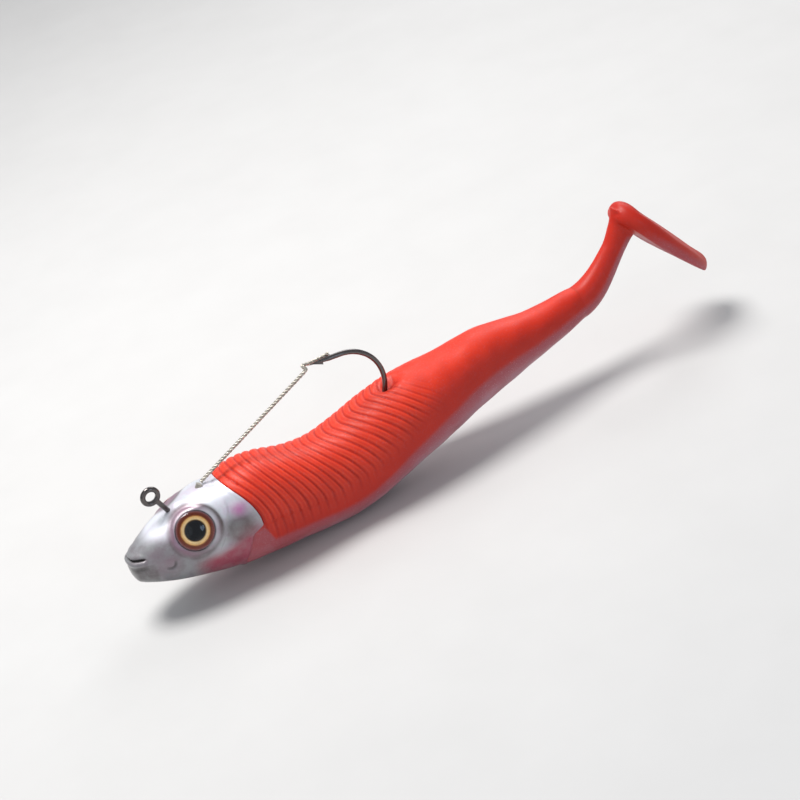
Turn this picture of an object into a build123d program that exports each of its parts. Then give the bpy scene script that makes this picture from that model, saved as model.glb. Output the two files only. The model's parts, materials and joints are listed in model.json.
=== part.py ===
"""Rigged soft swimbait: a fish-shaped jig head on one hook, a wire weed guard, and a
two-colour paddle-tail body that is cut into stretches where it bends.

Frame, in millimetres: the origin is the centre of the line-tie eye, +X runs back to the tail,
+Z is up through the back, and the lure's left side is -Y.
"""
from build123d import *
import math
import os

os.makedirs("parts", exist_ok=True)

# Hook wire
WIRE_RADIUS = 0.56
EYE_RING_RADIUS = 1.6  # centre line of the line-tie ring
LINE_TIE_RADIUS = 1.1  # clear hole for the leader
LEG_START_ANGLE = -60.0  # where the leg leaves the ring, from +X
LEG_CORNER_X = 4.25  # where the leg meets the shank
LEG_BEND_RADIUS = 2.0
BEND_CENTRE = (46.4, -0.1)
BEND_RADIUS = 9.0
BEND_END_ANGLE = 82.0  # the point leg leaves the bend here and rises towards its tip
POINT_X = 40.7  # tip of the hook point
POINT_TAPER = 4.5
POINT_TIP_RADIUS = 0.05
BARB_LENGTH = 2.2
BARB_HEIGHT = 0.8
SHANK_Z = BEND_CENTRE[1] - BEND_RADIUS
CAST_GAP = 0.03  # between the wire and what is moulded round it

# Head: x, height of the top, height of the bottom, half width
HEAD_STATIONS = [
    (-9.3, -10.8, -15.0, 1.6),
    (-8.6, -9.9, -16.1, 2.8),
    (-7.0, -8.9, -17.0, 4.0),
    (-4.5, -7.6, -18.1, 5.3),
    (-1.5, -6.2, -19.3, 6.3),
    (2.5, -4.8, -20.6, 7.2),
    (7.0, -3.5, -21.9, 7.9),
    (12.0, -3.2, -23.1, 8.4),
    (17.0, -3.3, -23.9, 8.8),
    (22.0, -3.4, -24.4, 9.0),
]
HEAD_SQUARENESS = 2.3  # exponent of the superellipse section
GILL_TOP = (13.2, -3.1)
GILL_SHOULDER = (16.4, -7.4)
GILL_APEX = (17.5, -13.0)
GILL_NOTCH = (14.9, -14.0)
GILL_THROAT = (13.3, -17.2)
GILL_BOTTOM = (10.8, -24.5)

# Eyes
EYE_CENTRE = (4.6, -6.7, -8.1)
EYE_UP_TILT = 24.0
EYE_FORWARD_TURN = 6.0
EYE_RADIUS = 4.0
SOCKET_RADIUS = 5.5
SOCKET_DEPTH = 1.1
FOIL_THICKNESS = 0.25
DOME_HEIGHT = 1.3
EYE_GAP = 0.05

# Mouth
MOUTH_Z = -11.0
MOUTH_LENGTH = 3.1
MOUTH_HEIGHT = 0.7

# Keeper collar on the shank, inside the body
KEEPER_RADIUS = 2.4
KEEPER_START_X = 9.0
KEEPER_END_X = 30.0
KEEPER_BARB_RADIUS = 3.3
KEEPER_BARBS_X = (22.0, 26.5)
KEEPER_BARB_LENGTH = 2.5

# Weed guard
STRAND_RADIUS = 0.4
GUARD_ROOT = (10.8, 0.0, -2.5)
GUARD_REST_ANGLE = 21.9
GUARD_LENGTH = 30.6
GUARD_SIDE = 1.25  # how far the return leg stands beside the point
GUARD_LOOP = 1.4  # length of the tight bend
GUARD_LOOP_RISE = 0.6
GUARD_RETURN = 5.6
GUARD_RETURN_RISE = -0.15
ROOT_GAP = 0.1
FERRULE_RADIUS = 0.85
FERRULE_LENGTH = 5.0
FERRULE_ANGLE = 52.0

# Body: x, height of the centre, half height, half width
BODY_STATIONS = [
    (9.0, -13.2, 9.8, 8.4),
    (15.0, -13.4, 10.1, 8.8),
    (28.0, -14.65, 10.25, 9.0),
    (38.0, -15.7, 9.7, 9.1),
    (46.0, -14.45, 10.05, 9.3),
    (54.0, -12.6, 9.8, 9.05),
    (63.0, -11.1, 9.1, 8.3),
    (73.0, -9.7, 7.8, 6.9),
    (82.0, -8.85, 6.75, 5.7),
    (90.0, -8.85, 5.25, 4.65),
    (97.0, -8.3, 4.35, 3.8),
    (104.0, -6.8, 3.5, 2.8),
    (107.5, -4.45, 3.15, 2.4),
]
BODY_SQUARENESS = 2.35
BELLY_SHARE_FRONT = 0.42  # how far down the half height the pearl belly begins
BELLY_SHARE_REAR = 0.05  # and where it has risen to further back
BELLY_RISE_X = (42.0, 72.0)
BODY_FLEX_X = 62.0
REAR_FLEX_X = 83.0
TAIL_FLEX_X = 103.0
BODY_FLEX_ANGLE = 18.0
TAIL_FLEX_ANGLE = 30.0
JOINT_GAP = 0.05
RELIEF_EXTRA = 1.0  # degrees of spare opening in each notch
REACH = 40.0  # longer than any section

# Tail stem and paddle
STEM_POINTS = [(104.0, -6.8), (108.8, -4.2), (113.0, -0.7), (118.4, 3.9)]
STEM_HALF_HEIGHT = 2.7
STEM_HALF_WIDTH = 2.2
PADDLE_TOP = (117.0, 9.2)
PADDLE_TOE = (136.0, -14.0)
PADDLE_HALF_WIDTH = 7.0
PADDLE_TOP_THICKNESS = 6.0
PADDLE_TOE_THICKNESS = 3.4
PADDLE_STATIONS = 9
PADDLE_TIP_ANGLE = 0.22  # radians left off each end of the oval, where it closes
WIDTH_POWER = 0.8  # below 1 fills out the oval
THICKNESS_POWER = 0.4
NECK_PLACE = 0.17  # how far down the paddle the stem meets it, as a share of its length
NECK_RADIUS = 2.9
NECK_DEPTH = 3.4  # how far the neck's face stands in front of the paddle's middle surface


ON_END = (Align.CENTER, Align.CENTER, Align.MIN)


def superellipse(x, z_centre, half_height, half_width, exponent, count=16):
    """A closed section across the X axis."""
    points = []
    for step in range(count):
        angle = 2 * math.pi * step / count
        across = abs(math.cos(angle)) ** (2 / exponent) * math.copysign(1, math.cos(angle))
        up = abs(math.sin(angle)) ** (2 / exponent) * math.copysign(1, math.sin(angle))
        points.append((x, half_width * across, z_centre + half_height * up))
    return Face(Wire([Edge.make_spline([Vector(*p) for p in points], periodic=True)]))


def slope(angle):
    """Unit vector in the X-Z plane, this many degrees up from +X."""
    return Vector(math.cos(math.radians(angle)), 0, math.sin(math.radians(angle)))


def hook_solid(grow=0.0):
    """The bent wire; grow makes the slightly larger copy that is cut out of what holds it."""
    radius = WIRE_RADIUS + grow
    start = EYE_RING_RADIUS * slope(LEG_START_ANGLE)
    corner = Vector(LEG_CORNER_X, 0, SHANK_Z)
    bend_start = Vector(BEND_CENTRE[0], 0, SHANK_Z)
    bend_side = Vector(BEND_CENTRE[0] + BEND_RADIUS, 0, BEND_CENTRE[1])
    bend_end = Vector(BEND_CENTRE[0], 0, BEND_CENTRE[1]) + BEND_RADIUS * slope(BEND_END_ANGLE)
    forward = slope(BEND_END_ANGLE + 90)
    tip = bend_end + forward * ((POINT_X - bend_end.X) / forward.X)
    taper_start = tip - forward * POINT_TAPER
    leg = Polyline(start, corner, bend_start)
    leg = Wire(leg.edges()).fillet_2d(LEG_BEND_RADIUS, [leg.vertices().sort_by_distance(corner)[0]])
    path = Wire(
        leg.edges() + [Edge.make_three_point_arc(bend_start, bend_side, bend_end)]
        + [Edge.make_line(bend_end, taper_start)]
    )
    direction = (corner - start).normalized()
    wire = sweep(Plane(start, z_dir=direction) * Circle(radius), path=path)
    ring = Rot(90, 0, 0) * Torus(EYE_RING_RADIUS, radius)
    point = Plane(taper_start, z_dir=forward) * Cone(
        radius, POINT_TIP_RADIUS + grow, POINT_TAPER, align=ON_END
    )
    inward = Vector(-forward.Z, 0, forward.X)
    barb_heel = taper_start + forward * (POINT_TAPER / 3)
    barb = Polyline(
        barb_heel + forward * BARB_LENGTH,
        barb_heel + inward * BARB_HEIGHT,
        barb_heel,
        close=True,
    )
    barb = extrude(Face(Wire(barb.edges())), amount=WIRE_RADIUS / 2, dir=(0, 1, 0), both=True)
    line_hole = Rot(90, 0, 0) * Cylinder(LINE_TIE_RADIUS, 4 * radius)
    return (wire + ring + point + barb) - line_hole


def gill_region(offset=0.0):
    """Everything in front of the gill-cover edge: an arc down to the apex, a step, a second arc."""
    def place(point):
        return Vector(point[0] + offset, 0, point[1])

    cover = Edge.make_three_point_arc(place(GILL_TOP), place(GILL_SHOULDER), place(GILL_APEX))
    step = Edge.make_line(place(GILL_APEX), place(GILL_NOTCH))
    throat = Edge.make_three_point_arc(place(GILL_NOTCH), place(GILL_THROAT), place(GILL_BOTTOM))
    front = Polyline(
        place(GILL_BOTTOM),
        (0, 0, -REACH),
        (-REACH, 0, -REACH),
        (-REACH, 0, REACH),
        (0, 0, REACH),
        place(GILL_TOP),
    )
    outline = Wire([cover, step, throat] + front.edges())
    return extrude(Face(outline), amount=REACH, dir=(0, 1, 0), both=True)


def keeper(grow=0.0):
    """The barbed collar behind the head."""
    def along_shank(x):
        return Plane((x, 0, SHANK_Z), z_dir=(1, 0, 0))

    length = KEEPER_END_X - KEEPER_START_X + grow
    collar = along_shank(KEEPER_START_X) * Cylinder(KEEPER_RADIUS + grow, length, align=ON_END)
    for x in KEEPER_BARBS_X:
        collar += along_shank(x) * Cone(
            KEEPER_BARB_RADIUS + grow, KEEPER_RADIUS + grow, KEEPER_BARB_LENGTH, align=ON_END
        )
    return collar


def eye_plane(depth):
    """A plane square to the left eye, this far below the skin, looking out."""
    tilt = math.radians(EYE_UP_TILT)
    turn = math.radians(EYE_FORWARD_TURN)
    level = math.cos(tilt)
    outward = Vector(-math.sin(turn) * level, -math.cos(turn) * level, math.sin(tilt))
    return Plane(Vector(*EYE_CENTRE) - outward * depth, z_dir=outward)


def eye_socket():
    """A flat seat for the foil with a bevel round it."""
    seat = eye_plane(SOCKET_DEPTH) * Cylinder(EYE_RADIUS + EYE_GAP, SOCKET_RADIUS, align=ON_END)
    bevel = eye_plane(SOCKET_DEPTH / 2) * Cone(
        EYE_RADIUS + EYE_GAP, SOCKET_RADIUS, SOCKET_DEPTH, align=ON_END
    )
    return seat + bevel


def eye_foil():
    return eye_plane(SOCKET_DEPTH - EYE_GAP) * Cylinder(EYE_RADIUS, FOIL_THICKNESS, align=ON_END)


def eye_dome():
    """A spherical cap over the foil."""
    sphere_radius = (EYE_RADIUS**2 + DOME_HEIGHT**2) / (2 * DOME_HEIGHT)
    ball = Pos(0, 0, DOME_HEIGHT - sphere_radius) * Sphere(sphere_radius)
    cap = ball & Cylinder(EYE_RADIUS, DOME_HEIGHT, align=ON_END)
    return eye_plane(SOCKET_DEPTH - 2 * EYE_GAP - FOIL_THICKNESS) * cap


def guard_ferrule(grow=0.0):
    """Crimped sleeve that anchors the strand in the head, just short of the strand's hinge."""
    direction = slope(FERRULE_ANGLE)
    start = Vector(*GUARD_ROOT) - direction * (STRAND_RADIUS + ROOT_GAP - grow)
    return Plane(start, z_dir=-direction) * Cylinder(
        FERRULE_RADIUS + grow, FERRULE_LENGTH + 2 * grow, align=ON_END
    )


def weed_guard():
    """Strand from its root to a tight bend ahead of the hook point, then back beside the point."""
    root = Vector(*GUARD_ROOT)
    end = root + slope(GUARD_REST_ANGLE) * GUARD_LENGTH
    back = end + Vector(GUARD_LOOP, GUARD_SIDE, GUARD_LOOP_RISE)
    tip = back + Vector(GUARD_RETURN, 0, GUARD_RETURN_RISE)
    main_leg = Edge.make_line(root, end)
    loop = Edge.make_spline([end, back], tangents=[slope(GUARD_REST_ANGLE), (tip - back).normalized()])
    return_leg = Edge.make_line(back, tip)
    strand = sweep(
        Plane(root, z_dir=slope(GUARD_REST_ANGLE)) * Circle(STRAND_RADIUS),
        path=Wire([main_leg, loop, return_leg]),
    )
    return strand + Pos(*GUARD_ROOT) * Sphere(STRAND_RADIUS)


def head_casting():
    faces = []
    for x, top, bottom, half_width in HEAD_STATIONS:
        centre = (top + bottom) / 2
        faces.append(superellipse(x, centre, (top - bottom) / 2, half_width, HEAD_SQUARENESS))
    head = loft(faces) & gill_region()
    head += keeper()
    head -= hook_solid(CAST_GAP)
    head -= eye_socket()
    head -= mirror(eye_socket(), about=Plane.XZ)
    head -= guard_ferrule(CAST_GAP)
    nose_x = HEAD_STATIONS[0][0]
    head -= Pos(nose_x, 0, MOUTH_Z) * Box(2 * MOUTH_LENGTH, REACH, MOUTH_HEIGHT)
    return head


def soft_body():
    """The whole soft body as one form, before it is cut into stretches and colours."""
    sections = []
    for x, centre, half_height, half_width in BODY_STATIONS:
        sections.append(superellipse(x, centre, half_height, half_width, BODY_SQUARENESS))
    body = loft(sections) - gill_region(JOINT_GAP)
    body -= hook_solid(CAST_GAP)
    body -= keeper(CAST_GAP)
    return body


def belly_share(x):
    rise_start, rise_end = BELLY_RISE_X
    risen = min(1, max(0, (x - rise_start) / (rise_end - rise_start)))
    return BELLY_SHARE_FRONT + risen * (BELLY_SHARE_REAR - BELLY_SHARE_FRONT)


def belly_region():
    """Everything under the line where the pearl belly meets the coloured back."""
    line = [(x, z - belly_share(x) * half) for x, z, half, width in BODY_STATIONS]
    edge = Edge.make_spline([Vector(x, 0, z) for x, z in line])
    end = Vector(line[-1][0], 0, line[-1][1])
    start = Vector(line[0][0], 0, line[0][1])
    low = Polyline(end, (end.X, 0, -REACH), (start.X, 0, -REACH), start)
    return extrude(Face(Wire([edge] + low.edges())), amount=REACH, dir=(0, 1, 0), both=True)


def stretch(start_x, start_angle, end_x, end_angle):
    """A slab between two bending stations, notched on both flanks so that it can bend."""
    start = start_x + JOINT_GAP
    end = end_x - JOINT_GAP
    start_flank = start + REACH * math.tan(math.radians(start_angle / 2 + RELIEF_EXTRA))
    end_flank = end - REACH * math.tan(math.radians(end_angle / 2 + RELIEF_EXTRA))
    plan = Polyline(
        (start, 0),
        (start_flank, REACH),
        (end_flank, REACH),
        (end, 0),
        (end_flank, -REACH),
        (start_flank, -REACH),
        close=True,
    )
    return Pos(0, 0, -REACH) * extrude(Face(Wire(plan.edges())), amount=2 * REACH, dir=(0, 0, 1))


def tail_stem():
    path = Edge.make_spline([Vector(x, 0, z) for x, z in STEM_POINTS])
    section = Plane(path @ 0, x_dir=(0, 1, 0), z_dir=path % 0) * Ellipse(STEM_HALF_WIDTH, STEM_HALF_HEIGHT)
    return sweep(section, path=path)


def paddle_plane():
    """Middle surface of the paddle: local x runs down to the toe, local z points back."""
    top = Vector(PADDLE_TOP[0], 0, PADDLE_TOP[1])
    toe = Vector(PADDLE_TOE[0], 0, PADDLE_TOE[1])
    down = (toe - top).normalized()
    return Plane(top, x_dir=down, z_dir=Vector(-down.Z, 0, down.X)), (toe - top).length


def neck_plane():
    """The flat face where the stem meets the paddle, looking forward out of the paddle."""
    plane, length = paddle_plane()
    centre = plane.origin + plane.x_dir * (length * NECK_PLACE) - plane.z_dir * NECK_DEPTH
    return Plane(centre, z_dir=-plane.z_dir)


def paddle():
    """An oval blade, thick at the top and thin at the toe, with a round neck for the stem."""
    plane, length = paddle_plane()
    sections = []
    for step in range(PADDLE_STATIONS):
        sweep_angle = math.pi - 2 * PADDLE_TIP_ANGLE
        around = PADDLE_TIP_ANGLE + sweep_angle * step / (PADDLE_STATIONS - 1)
        share = (1 - math.cos(around)) / 2
        half_width = PADDLE_HALF_WIDTH * math.sin(around) ** WIDTH_POWER
        thickness = PADDLE_TOP_THICKNESS + share * (PADDLE_TOE_THICKNESS - PADDLE_TOP_THICKNESS)
        half_thickness = thickness / 2 * math.sin(around) ** THICKNESS_POWER
        centre = plane.origin + plane.x_dir * (length * share)
        station = Plane(centre, x_dir=(0, 1, 0), z_dir=plane.x_dir)
        sections.append(station * Ellipse(half_width, half_thickness))
    neck = Rot(180, 0, 0) * Cylinder(NECK_RADIUS, NECK_DEPTH, align=ON_END)
    return loft(sections) + neck_plane() * neck


def stem_region():
    """The half space in front of the paddle's neck."""
    return neck_plane() * Pos(0, 0, JOINT_GAP) * Box(2 * REACH, 2 * REACH, REACH, align=ON_END)


def write(name, shape):
    export_step(shape, f"parts/{name}.step")


def build():
    write("head_casting", head_casting())
    write("hook", hook_solid())
    write("weed_guard", weed_guard())
    write("guard_ferrule", guard_ferrule())
    for name, shape in (("eye_foil", eye_foil()), ("eye_dome", eye_dome())):
        write(name + "_left", shape)
        write(name + "_right", mirror(shape, about=Plane.XZ))
    body = soft_body()
    belly = body & belly_region()
    back = body - belly_region()
    stretches = {
        "front_body": stretch(-REACH, 0, BODY_FLEX_X, BODY_FLEX_ANGLE),
        "middle_body": stretch(BODY_FLEX_X, BODY_FLEX_ANGLE, REAR_FLEX_X, BODY_FLEX_ANGLE),
        "rear_body": stretch(REAR_FLEX_X, BODY_FLEX_ANGLE, TAIL_FLEX_X, TAIL_FLEX_ANGLE),
    }
    for name, region in stretches.items():
        write(name + "_upper", back & region)
        write(name + "_belly", belly & region)
    root_end = stretch(TAIL_FLEX_X, TAIL_FLEX_ANGLE, 2 * TAIL_FLEX_X, 0)
    write("tail_stem", (body + tail_stem()) & root_end & stem_region())
    write("paddle", paddle())


build()
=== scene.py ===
"""The looks of a rigged soft swimbait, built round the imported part.

Shapes are measured off the part with rays, then given their ribs, lips, puckers and twisted
strands. Lengths are in millimetres until a mesh is made. The frame's origin is the centre of
the line-tie eye, with +X to the tail, +Z up and the lure's left side at -Y.
"""

import bpy
import json
import math
import numpy as np
from mathutils import Matrix, Vector
from mathutils.bvhtree import BVHTree


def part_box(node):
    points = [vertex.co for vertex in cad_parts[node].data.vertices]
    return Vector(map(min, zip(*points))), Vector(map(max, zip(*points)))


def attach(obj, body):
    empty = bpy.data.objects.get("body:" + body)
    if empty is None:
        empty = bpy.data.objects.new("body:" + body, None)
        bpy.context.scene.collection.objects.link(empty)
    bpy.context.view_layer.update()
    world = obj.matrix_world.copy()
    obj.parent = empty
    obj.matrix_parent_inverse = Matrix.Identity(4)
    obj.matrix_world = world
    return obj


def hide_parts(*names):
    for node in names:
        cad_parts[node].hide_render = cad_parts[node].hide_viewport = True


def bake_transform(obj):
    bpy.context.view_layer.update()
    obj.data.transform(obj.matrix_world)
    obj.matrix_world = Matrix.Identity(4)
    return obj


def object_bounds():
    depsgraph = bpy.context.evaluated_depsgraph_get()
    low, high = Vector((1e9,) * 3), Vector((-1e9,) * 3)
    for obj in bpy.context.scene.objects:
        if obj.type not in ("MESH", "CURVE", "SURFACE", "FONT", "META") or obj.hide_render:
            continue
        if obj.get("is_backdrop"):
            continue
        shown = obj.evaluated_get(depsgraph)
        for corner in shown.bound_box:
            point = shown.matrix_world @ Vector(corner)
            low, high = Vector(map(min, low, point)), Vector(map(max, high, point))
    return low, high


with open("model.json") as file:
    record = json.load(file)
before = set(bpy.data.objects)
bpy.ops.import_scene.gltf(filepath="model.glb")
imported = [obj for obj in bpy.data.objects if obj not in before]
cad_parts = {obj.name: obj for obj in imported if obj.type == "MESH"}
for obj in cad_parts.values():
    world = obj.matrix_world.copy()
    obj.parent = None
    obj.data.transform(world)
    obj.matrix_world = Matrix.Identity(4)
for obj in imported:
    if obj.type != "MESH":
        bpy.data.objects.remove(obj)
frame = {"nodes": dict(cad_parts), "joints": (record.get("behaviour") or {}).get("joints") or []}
cad_low, cad_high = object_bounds()

MM = 0.001
SIDE = np.array([0.0, 1.0, 0.0])
FAR = 60.0
SQUARENESS = 2.33  # exponent of every oval section
JOINTS = {joint["name"]: joint for joint in frame["joints"]}


# ---------------------------------------------------------------- measuring the part


def box_mm(node):
    low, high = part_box(node)
    return np.array(low) / MM, np.array(high) / MM


def joint_place(name):
    return np.array(JOINTS[name]["pos_m"]) / MM


def unit(vectors):
    """The vectors, each made one long."""
    lengths = np.linalg.norm(vectors, axis=-1, keepdims=True)
    return np.asarray(vectors, float) / np.maximum(lengths, 1e-9)


def joint_axis(name):
    return unit(JOINTS[name]["axis"])


def join_shells(shells):
    """The points and faces of several meshes as one mesh's."""
    points = []
    faces = []
    for shell_points, shell_faces in shells:
        first = len(points)
        points += list(shell_points)
        faces += [[first + i for i in face] for face in shell_faces]
    return points, faces


def surface(*nodes):
    """The nodes' surface, for casting rays at."""
    shells = []
    for node in nodes:
        mesh = frame["nodes"][node].data
        points = [vertex.co / MM for vertex in mesh.vertices]
        shells.append((points, [polygon.vertices for polygon in mesh.polygons]))
    return BVHTree.FromPolygons(*join_shells(shells))


def cast(tree, start, direction):
    """Where a ray first meets the surface, and how far along; None and FAR if it misses."""
    place, _, _, distance = tree.ray_cast(Vector(start), Vector(direction))
    if place is None:
        return None, FAR
    return np.array(place), distance


def smooth_curve(places, values):
    """A smooth function through the values, straight beyond its ends."""
    places = np.array(places, float)
    values = np.array(values, float)
    slopes = np.gradient(values, places)

    def at(x):
        x = np.asarray(x, float)
        inside = np.clip(x, places[0], places[-1])
        i = np.clip(np.searchsorted(places, inside) - 1, 0, len(places) - 2)
        width = places[i + 1] - places[i]
        t = (inside - places[i]) / width
        rise = values[i + 1] - values[i]
        bend = (1 - t) * (slopes[i] * width - rise) - t * (slopes[i + 1] * width - rise)
        end_slope = np.where(x < places[0], slopes[0], slopes[-1])
        return values[i] + t * rise + t * (1 - t) * bend + (x - inside) * end_slope

    return at


def step_up(x, low, high):
    """0 below low, 1 above high and smooth between."""
    t = np.clip((np.asarray(x, float) - low) / (high - low), 0, 1)
    return t * t * (3 - 2 * t)


def hump(x, centre, width):
    return np.exp(-(((np.asarray(x, float) - centre) / width) ** 2))


FLANK_SHARE = 0.35  # how far below its centre a section's width is read, as a share


def measure_section(tree, x, beside):
    """Height of the centre, half height and half width of the section at x. The heights are
    read a little beside the middle, clear of the wires."""
    top = cast(tree, (x, beside, FAR), (0, 0, -1))[0][2]
    bottom = cast(tree, (x, beside, -FAR), (0, 0, 1))[0][2]
    centre = (top + bottom) / 2
    half_height = (top - bottom) / 2
    level = centre - half_height * FLANK_SHARE
    flank = abs(cast(tree, (x, -FAR, level), (0, 1, 0))[0][1])
    half_width = flank / (1 - FLANK_SHARE**SQUARENESS) ** (1 / SQUARENESS)
    half_height /= (1 - (beside / half_width) ** SQUARENESS) ** (1 / SQUARENESS)
    return centre, half_height, half_width


def oval_reach(half_height, half_width, angle, power=SQUARENESS):
    """How far an oval's edge is from its middle at these angles from +Y."""
    across = (np.abs(np.cos(angle)) / half_width) ** power
    up = (np.abs(np.sin(angle)) / half_height) ** power
    return (across + up) ** (-1 / power)


class Skin:
    """Smooth oval sections along X. Squares of the half sizes are what is joined up, so that
    a nose whose last section has no size comes out round."""

    def __init__(self, places, sections):
        self.places = places
        self.centre = smooth_curve(places, [section[0] for section in sections])
        self.height_squared = smooth_curve(places, [section[1] ** 2 for section in sections])
        self.width_squared = smooth_curve(places, [section[2] ** 2 for section in sections])

    def sizes(self, x):
        tiny = 1e-4
        half_height = np.sqrt(np.maximum(self.height_squared(x), tiny))
        half_width = np.sqrt(np.maximum(self.width_squared(x), tiny))
        return self.centre(x), half_height, half_width

    def radius(self, x, angle):
        return oval_reach(*self.sizes(x)[1:], angle)

    def points(self, x, angle, lift=0.0):
        """Points on the skin at these angles from +Y, lifted outwards."""
        x, angle, lift = np.broadcast_arrays(x, angle, lift)
        reach = self.radius(x, angle) + lift
        height = self.centre(x) + reach * np.sin(angle)
        return np.stack([x, reach * np.cos(angle), height], axis=-1)


# ---------------------------------------------------------------- meshes


def make_mesh(name, points, faces, material, masks, sharp_angle=50):
    """A smooth closed mesh from points in millimetres. It keeps each point's place at rest, and
    its masks, for the material to read."""
    points = np.asarray(points, float)
    mesh = bpy.data.meshes.new(name)
    mesh.from_pydata((points * MM).tolist(), [], faces)
    mesh.update()
    rest = mesh.attributes.new("rest", "FLOAT_VECTOR", "POINT")
    rest.data.foreach_set("vector", points.astype(np.float32).ravel())
    for mask, values in masks.items():
        attribute = mesh.attributes.new(mask, "FLOAT", "POINT")
        attribute.data.foreach_set("value", np.asarray(values, np.float32).ravel())
    mesh.shade_smooth()
    mesh.set_sharp_from_angle(angle=math.radians(sharp_angle))
    mesh.materials.append(material)
    piece = bpy.data.objects.new(name, mesh)
    bpy.context.scene.collection.objects.link(piece)
    return piece


def stand_for(piece, slot, *nodes):
    """Hides these nodes of the part, for the piece to show in their place. The piece and the slot
    are not used.
    """
    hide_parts(*nodes)


def bend_across(piece):
    """Bakes the piece's place into its mesh."""
    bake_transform(piece)


def round_angles(count):
    """Angles from +Y all the way round a section, starting straight down."""
    return np.linspace(-math.pi / 2, math.pi * 1.5, count, endpoint=False)


def tube_faces(rings, around, flip=False):
    """Faces of rings that are each a closed loop, with a fan over both ends. The fans' middle
    points come after the rings' points."""
    ring, spot = np.meshgrid(np.arange(rings - 1), np.arange(around), indexing="ij")
    a = ring * around + spot
    b = ring * around + (spot + 1) % around
    quads = np.stack([a, b, b + around, a + around], axis=-1).reshape(-1, 4)
    spots = np.arange(around)
    following = (spots + 1) % around
    middle = np.full(around, rings * around)
    last = (rings - 1) * around
    first_fan = np.stack([middle, following, spots], axis=-1)
    last_fan = np.stack([middle + 1, last + spots, last + following], axis=-1)
    faces = quads.tolist() + first_fan.tolist() + last_fan.tolist()
    return [face[::-1] for face in faces] if flip else faces


def with_fans(grid):
    """A grid of rings as a list of points, with the middles of its first and last rings."""
    grid = np.asarray(grid, float)
    middles = np.stack([grid[0].mean(0), grid[-1].mean(0)])
    return np.concatenate([grid.reshape(-1, 3), middles])


def tube_along(path, radius, sides):
    """Rings round a path of points."""
    heading = unit(np.gradient(path, axis=0))
    side = unit(np.cross(heading, [0.0, 0.0, 1.0]))
    up = np.cross(side, heading)
    angle = np.linspace(0, 2 * math.pi, sides, endpoint=False)[None, :, None]
    out = side[:, None, :] * np.cos(angle) + up[:, None, :] * np.sin(angle)
    return path[:, None, :] + radius * out


def grid_normals(grid):
    """Outward normals of a grid of rings round +X."""
    around = np.roll(grid, -1, axis=1) - np.roll(grid, 1, axis=1)
    return unit(np.cross(around, np.gradient(grid, axis=0)))


def mirrored(points):
    """The points with both flanks folded onto the left one."""
    return np.stack([points[..., 0], -np.abs(points[..., 1]), points[..., 2]], axis=-1)


def blob(points, centre, radii):
    """1 in the middle of a soft ellipsoid, fading out of it."""
    offset = (points - np.array(centre)) / np.array(radii)
    return np.exp(-np.sum(offset**2, axis=-1))


# ---------------------------------------------------------------- materials


def new_material(name):
    material = bpy.data.materials.new(name)
    material.use_nodes = True
    material.node_tree.nodes.clear()
    return material, material.node_tree


def node(tree, kind, inputs=None, **settings):
    """A shader node, set and wired; gives its outputs."""
    made = tree.nodes.new("ShaderNode" + kind)
    for name, value in settings.items():
        setattr(made, name, value)
    for name, value in (inputs or {}).items():
        socket = made.inputs[name]
        if isinstance(value, bpy.types.NodeSocket):
            tree.links.new(value, socket)
        else:
            socket.default_value = value
    return made.outputs


def read_mask(tree, name):
    return node(tree, "Attribute", attribute_name=name)["Fac"]


def read_rest(tree):
    """The point's place at rest, in millimetres."""
    return node(tree, "Attribute", attribute_name="rest")["Vector"]


def object_place(tree):
    """The point's place in the frame in millimetres, for pieces that never bend."""
    place = node(tree, "TexCoord")["Object"]
    scale = {0: place, "Scale": 1 / MM}
    return node(tree, "VectorMath", scale, operation="SCALE")["Vector"]


def noise(tree, place, scale, detail=3.0, roughness=0.5):
    inputs = {"Vector": place, "Scale": scale, "Detail": detail, "Roughness": roughness}
    return node(tree, "TexNoise", inputs)["Fac"]


def calc(tree, operation, a, b):
    return node(tree, "Math", {0: a, 1: b}, operation=operation)["Value"]


def spread(tree, value, low, high, new_low=0.0, new_high=1.0):
    """The range from low to high spread over the new range and held at its ends."""
    inputs = {"Value": value, "From Min": low, "From Max": high}
    inputs |= {"To Min": new_low, "To Max": new_high}
    return node(tree, "MapRange", inputs)["Result"]


def mix(tree, share, first, second):
    return node(tree, "MixRGB", {"Fac": share, "Color1": first, "Color2": second})["Color"]


def ramp(tree, value, stops):
    outputs = node(tree, "ValToRGB", {"Fac": value})
    colours = outputs["Color"].node.color_ramp
    while len(colours.elements) < len(stops):
        colours.elements.new(0.5)
    for element, (place, colour) in zip(colours.elements, stops):
        element.position = place
        element.color = colour
    return outputs["Color"]


def bump(tree, height, strength, distance):
    inputs = {"Height": height, "Strength": strength, "Distance": distance * MM}
    return node(tree, "Bump", inputs)["Normal"]


def finish_material(material, inputs):
    tree = material.node_tree
    shader = node(tree, "BsdfPrincipled", inputs)["BSDF"]
    node(tree, "OutputMaterial", {"Surface": shader})
    return material


def rgb(red, green, blue):
    return (red, green, blue, 1.0)


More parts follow.
